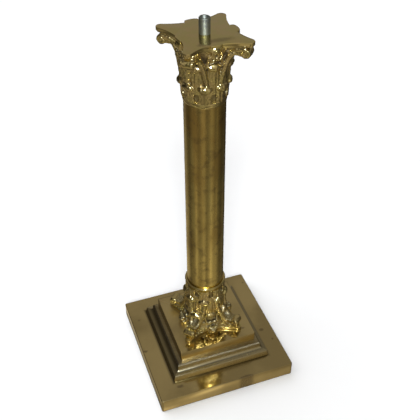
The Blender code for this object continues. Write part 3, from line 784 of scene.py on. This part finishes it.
def collar():
    """The lower casting's rim: a neck, then two beads with a groove round the shaft's seat."""
    rim = -CARVED_HEIGHT - COLLAR_HEIGHT
    seat = SHAFT_RADIUS + PIECE_GAP
    bead = (COLLAR_LIP - PIECE_GAP) / 4
    points = [(0.0, RIM_OVERLAP - CARVED_HEIGHT),
              (BELL_RADIUS - RIM_OVERLAP, RIM_OVERLAP - CARVED_HEIGHT),
              (SHAFT_RADIUS + 0.0004, rim + COLLAR_HEIGHT * 0.72)]
    points += arc((SHAFT_RADIUS + COLLAR_LIP - bead, rim + 3 * bead), bead, 80, -95, 8)
    points += arc((seat + 2 * bead, rim + bead), bead, 40, -90, 7)
    points += [(seat + 0.0003, rim), (seat, rim + 0.0003), (seat, rim + COLLAR_SEAT),
               (0.0, rim + COLLAR_SEAT)]
    return points


lower = casting((EVEN_SIDE,) * 4, 0.0, collar())
bmesh.ops.rotate(lower, matrix=Matrix.Rotation(LOWER_TURN, 3, "Z")
                 @ Matrix.Rotation(math.pi, 3, "X"), verts=lower.verts)
bmesh.ops.translate(lower, vec=(0.0, 0.0, LOWER_FACE_Z), verts=lower.verts)
settle(lower, "inverted_casting", "lower_casting", cast_finish("lower_cast_brass", True, []))

# Shaft
# A plain drawn brass tube that stands in the lower collar and takes the capital's spigot. Its
# old polish has streaks along its length, brown blooms and a few slanting scratches.

SHAFT_WALL = 0.0012
SHAFT_SHOWN = 0.2190
SHAFT_EASE = 0.0002
SHAFT_LOW_Z = LOWER_FACE_Z + CARVED_HEIGHT + COLLAR_HEIGHT - COLLAR_SEAT + PIECE_GAP
UPPER_RIM_Z = LOWER_FACE_Z + CARVED_HEIGHT + COLLAR_HEIGHT + SHAFT_SHOWN
SHAFT_HIGH_Z = UPPER_RIM_Z - PIECE_GAP
OLIVE_BRASS = (0.62, 0.52, 0.20, 1.0)
YELLOW_BRASS = (0.74, 0.56, 0.19, 1.0)
# Brighter brass, painted on the tube's foot as painted light.
FOOT_LIGHT_BRASS = (0.92, 0.73, 0.26, 1.0)
BROWN_BLOOM = (0.42, 0.27, 0.08, 1.0)

tube_inside = SHAFT_RADIUS - SHAFT_WALL
wall = [(tube_inside, SHAFT_HIGH_Z), (SHAFT_RADIUS - SHAFT_EASE, SHAFT_HIGH_Z),
        (SHAFT_RADIUS, SHAFT_HIGH_Z - SHAFT_EASE), (SHAFT_RADIUS, SHAFT_LOW_Z + SHAFT_EASE),
        (SHAFT_RADIUS - SHAFT_EASE, SHAFT_LOW_Z), (tube_inside, SHAFT_LOW_Z),
        (tube_inside, SHAFT_HIGH_Z)]
shaft = turned(wall, 128)
shaft_finish, shaft_shader, shaft_place = metal("drawn_tube_brass")
streaks = shaft_place.grain(150.0, 3.0, (1.0, 1.0, 0.035))
blooms = shaft_place.grain(42.0, 5.0, (1.0, 1.0, 0.45)).between(0.44, 0.66)
mottle = shaft_place.grain(130.0, 4.0)
slash = shaft_place.grain(60.0, 1.0, (14.0, 14.0, 1.0), (0.35, 0.0, 0.0)).between(0.66, 0.74)
colour = streaks.between(0.35, 0.65).coat(OLIVE_BRASS, YELLOW_BRASS)
along = split(shaft_place)[2]
# Painted light: the tube is painted brighter towards its foot, where light off the slab and
# plinth falls on it.
wear_and_foot_light = 1 - (along + blooms * 0.05).between(SHAFT_LOW_Z, SHAFT_LOW_Z + 0.16)
colour = wear_and_foot_light.coat(colour, FOOT_LIGHT_BRASS)
# Brown blooms, and the tube painted darker towards its top.
colour = (blooms * 0.5 + along.between(0.24, 0.33) * 0.25).coat(colour, BROWN_BLOOM)
colour = (mottle.between(0.50, 0.72) * 0.45).coat(colour, BROWN_TARNISH)
feed(shaft_shader, Base_Color=colour,
     Roughness=0.19 + blooms * 0.06 + streaks * 0.08 + slash * 0.10,
     Normal=relief(streaks + slash * 0.3, 0.00006,
                   relief(shaft_place.grain(55.0, 2.0, (1.0, 1.0, 0.4)), 0.00007)))
settle(shaft, "plain_shaft", "shaft", shaft_finish)

# Upper capital
# The Corinthian capital proper: the same casting the right way up, with a plain bead as its rim
# and a flat polished abacus, drilled and tapped for the lamp tube. Its front tip is worn.

RING_HEIGHT = 0.0041
RING_LIP = 0.0007
UPPER_TURN = math.radians(3.9)
UPPER_FACE_Z = UPPER_RIM_Z + RING_HEIGHT + CARVED_HEIGHT
WORN_TIP = 0.0026
BROAD_SIDE = (0.0066, 0.0049, 0.0130, 0.0136)
SLIM_SIDE = (0.0046, 0.0012, 0.0077, 0.0110)

rim = -CARVED_HEIGHT - RING_HEIGHT
bead_middle = rim + RING_HEIGHT / 2
astragal = [(0.0, RIM_OVERLAP - CARVED_HEIGHT),
            (BELL_RADIUS - RIM_OVERLAP, RIM_OVERLAP - CARVED_HEIGHT)]
astragal += [(SHAFT_RADIUS + RING_LIP * math.cos(turn),
              bead_middle + RING_HEIGHT / 2 * math.sin(turn))
             for turn in [math.radians(80 - 16 * step) for step in range(11)]]
astragal += [(SHAFT_RADIUS - 0.0010, rim), (0.0, rim)]
capital = casting((BROAD_SIDE, BROAD_SIDE, SLIM_SIDE, SLIM_SIDE), WORN_TIP, astragal)
bmesh.ops.rotate(capital, matrix=Matrix.Rotation(UPPER_TURN, 3, "Z"), verts=capital.verts)
bmesh.ops.translate(capital, vec=(0.0, 0.0, UPPER_FACE_Z), verts=capital.verts)
# Two darker brown ovals on the abacus top; the long one lies just in front of the lamp tube's
# foot, to its right.
capital_finish = cast_finish("upper_cast_brass", False, [
    (0.0078, -0.0163, 0.0150, 0.0044), (-0.0098, -0.0205, 0.0050, 0.0030)])
settle(capital, "leafy_capital", "upper_capital", capital_finish)

# Lamp tube
# A zinc-plated steel tube with a fine thread, screwed into the abacus. A lampholder screws onto
# it, and the cord would come up through its bore. Its mouth is chamfered.

TUBE_RADIUS = 0.0050
TUBE_BORE = 0.0035
TUBE_SEATED = 0.0150
TUBE_SHOWN = 0.0146
TUBE_LOW_Z = UPPER_FACE_Z - TUBE_SEATED
TUBE_HIGH_Z = UPPER_FACE_Z + TUBE_SHOWN
MOUTH_CHAMFER = 0.0004
END_CHAMFER = 0.0006
THREAD_PITCH = 0.0010
THREAD_DEPTH = 0.00022
ZINC = (0.35, 0.36, 0.28, 1.0)
DULL_ZINC = (0.24, 0.25, 0.22, 1.0)

rows = 186
threaded = [(TUBE_BORE, TUBE_HIGH_Z - MOUTH_CHAMFER), (TUBE_BORE + MOUTH_CHAMFER, TUBE_HIGH_Z),
            (TUBE_RADIUS - END_CHAMFER, TUBE_HIGH_Z)]
threaded += [(TUBE_RADIUS, TUBE_HIGH_Z - END_CHAMFER
              + (TUBE_LOW_Z - TUBE_HIGH_Z + END_CHAMFER) * row / rows) for row in range(rows + 1)]
threaded += [(TUBE_BORE, TUBE_LOW_Z), (TUBE_BORE, TUBE_HIGH_Z - MOUTH_CHAMFER)]
lamp_tube = turned(threaded, 48)
for vert in lamp_tube.verts:
    if abs(vert.co.xy.length - TUBE_RADIUS) < 0.00001:
        turn = math.atan2(vert.co.y, vert.co.x) / math.tau
        cut = 0.5 - 0.5 * math.cos(math.tau * (vert.co.z / THREAD_PITCH - turn))
        vert.co.xy *= 1 - THREAD_DEPTH * cut / TUBE_RADIUS
steel, steel_shader, steel_place = metal("zinc_plate")
patch = steel_place.grain(260.0, 4.0).between(0.45, 0.70)
feed(steel_shader, Base_Color=patch.coat(ZINC, DULL_ZINC), Roughness=0.50 + patch * 0.12,
     Normal=relief(steel_place.grain(1400.0, 2.0), 0.00002))
settle(lamp_tube, "threaded_tube", "lamp_tube", steel, 60)

# Floor, light and camera
# A pale floor, a wide soft light overhead, a small bright one by the camera that gives the
# carving its glints, and dim surroundings for the brass to mirror.

CAMERA_YAW = math.radians(-20.2274)
CAMERA_RISE = math.radians(38.9015)
CAMERA_ROLL = math.radians(0.2021)
CAMERA_LENS = 60.61
HALF_SLAB = SLAB_WIDTH / 2
AIM_ASIDE = 0.0665 * HALF_SLAB
AIM_HEIGHT = 2.6307 * HALF_SLAB
CAMERA_DISTANCE = 9.3096 * HALF_SLAB

floor_shape = bmesh.new()
bmesh.ops.create_grid(floor_shape, x_segments=8, y_segments=8, size=4.0)
floor_mesh = bpy.data.meshes.new("floor")
floor_shape.to_mesh(floor_mesh)
floor_shape.free()
floor = bpy.data.objects.new("floor", floor_mesh)
floor.location.z = -0.0002
floor.visible_glossy = False
bpy.context.scene.collection.objects.link(floor)
paper = bpy.data.materials.new("pale_floor")
paper.use_nodes = True
paper_shader = paper.node_tree.nodes["Principled BSDF"]
paper_shader.inputs["Base Color"].default_value = (0.90, 0.90, 0.90, 1.0)
paper_shader.inputs["Roughness"].default_value = 0.9
paper_shader.inputs["Specular IOR Level"].default_value = 0.0
paper_shader.inputs["Emission Color"].default_value = (0.2, 0.5, 1.0, 1.0)
paper_shader.inputs["Emission Strength"].default_value = 0.04
floor_mesh.materials.append(paper)

back = Vector((math.sin(CAMERA_YAW) * math.cos(CAMERA_RISE),
               -math.cos(CAMERA_YAW) * math.cos(CAMERA_RISE), math.sin(CAMERA_RISE)))
level = Vector((math.cos(CAMERA_YAW), math.sin(CAMERA_YAW), 0.0))
rise = back.cross(level)
right = level * math.cos(CAMERA_ROLL) + rise * math.sin(CAMERA_ROLL)
up = rise * math.cos(CAMERA_ROLL) - level * math.sin(CAMERA_ROLL)
target = level * AIM_ASIDE + Vector((0.0, 0.0, AIM_HEIGHT))
stand = target + back * CAMERA_DISTANCE
lens = bpy.data.cameras.new("camera")
lens.sensor_width = 36.0
lens.lens = CAMERA_LENS
lens.clip_start = 0.01
camera = bpy.data.objects.new("camera", lens)
camera.matrix_world = Matrix((right, up, back)).transposed().to_4x4()
camera.location = stand
bpy.context.scene.collection.objects.link(camera)
bpy.context.scene.camera = camera


def lamp(kind, name, place, aim, strength, colour):
    """A light that shines from a place towards another."""
    light = bpy.data.lights.new(name, kind)
    light.energy = strength
    light.color = colour
    made = bpy.data.objects.new(name, light)
    made.location = place
    made.rotation_euler = (Vector(aim) - Vector(place)).to_track_quat("-Z", "Y").to_euler()
    bpy.context.scene.collection.objects.link(made)
    return made


overhead = lamp("SUN", "overhead", (-0.70, 0.80, 1.35), (0.0, 0.0, 0.0), 2.4, (0.97, 0.98, 1.0))
overhead.data.angle = math.radians(85)
overhead.visible_glossy = False
front = lamp("SUN", "front", stand + up * 0.04, target, 1.7, (0.98, 0.99, 1.0))
front.data.angle = math.radians(15)
front.visible_glossy = False
flash = lamp("AREA", "flash", stand + up * 0.07 + right * 0.02, target, 3.0, (0.82, 0.93, 1.15))
flash.data.size = 0.026
flash.visible_diffuse = False

sky = bpy.data.worlds.new("room")
sky.use_nodes = True
bpy.context.scene.world = sky
room = sky.node_tree.nodes["Background"]
way = Tint(sky.node_tree).node("TexCoord", {}, {}, "Generated")
tilt = split(way)[2]


def glow(direction, inner, outer):
    """How near the room's direction is to one: 1 inside the inner angle, 0 past the outer."""
    aim = Vector(direction).normalized()
    facing = way.node("VectorMath", {"operation": "DOT_PRODUCT"}, {0: way, 1: aim}, "Value")
    return facing.between(math.cos(math.radians(outer)), math.cos(math.radians(inner)))


shade = 0.08
for direction, inner, outer, strength in [
        ((0.3, 0.8, 0.65), 25, 65, 0.17), ((-0.3, 0.7, -0.65), 4, 20, 0.4),
        ((-0.1, -0.75, -0.63), 10, 70, 0.19), ((0.3, -0.7, -0.6), 4, 28, 0.12),
        ((-0.73, 0.27, -0.63), 10, 45, 0.08), ((-0.5, -0.6, 0.6), 5, 35, 0.25),
        ((-0.1, -0.75, 0.5), 10, 55, 0.20), ((0.35, -0.8, 0.4), 10, 50, 0.12),
        ((0.25, -0.56, -0.79), 6, 22, 0.38), ((-0.68, -0.19, -0.70), 5, 30, 0.11)]:
    shade = shade + glow(direction, inner, outer) * strength
dark = 1.0
for direction, inner, outer, strength in [
        ((-0.75, 0.60, 0.25), 10, 42, 0.75), ((0.62, 0.73, -0.28), 10, 35, 0.8),
        ((0.47, -0.71, -0.52), 5, 18, 0.5)]:
    dark = dark * (1 - glow(direction, inner, outer) * strength)
bands = way.grain(2.6, 2.0, (1.0, 1.0, 0.3)).between(0.36, 0.64) - 0.5
shade = shade * dark * (1 + bands * (1 - tilt.between(-0.45, -0.15)))
tone = shade.node("Mix", {"data_type": "RGBA"},
                  {0: tilt.between(-0.3, 0.3), 6: (1.0, 0.87, 0.62, 1.0),
                   7: (0.98, 0.90, 0.76, 1.0)}, 2)
sky.node_tree.links.new(tone.socket, room.inputs["Color"])
sky.node_tree.links.new(shade.socket, room.inputs["Strength"])
bpy.context.scene.view_settings.view_transform = "Standard"
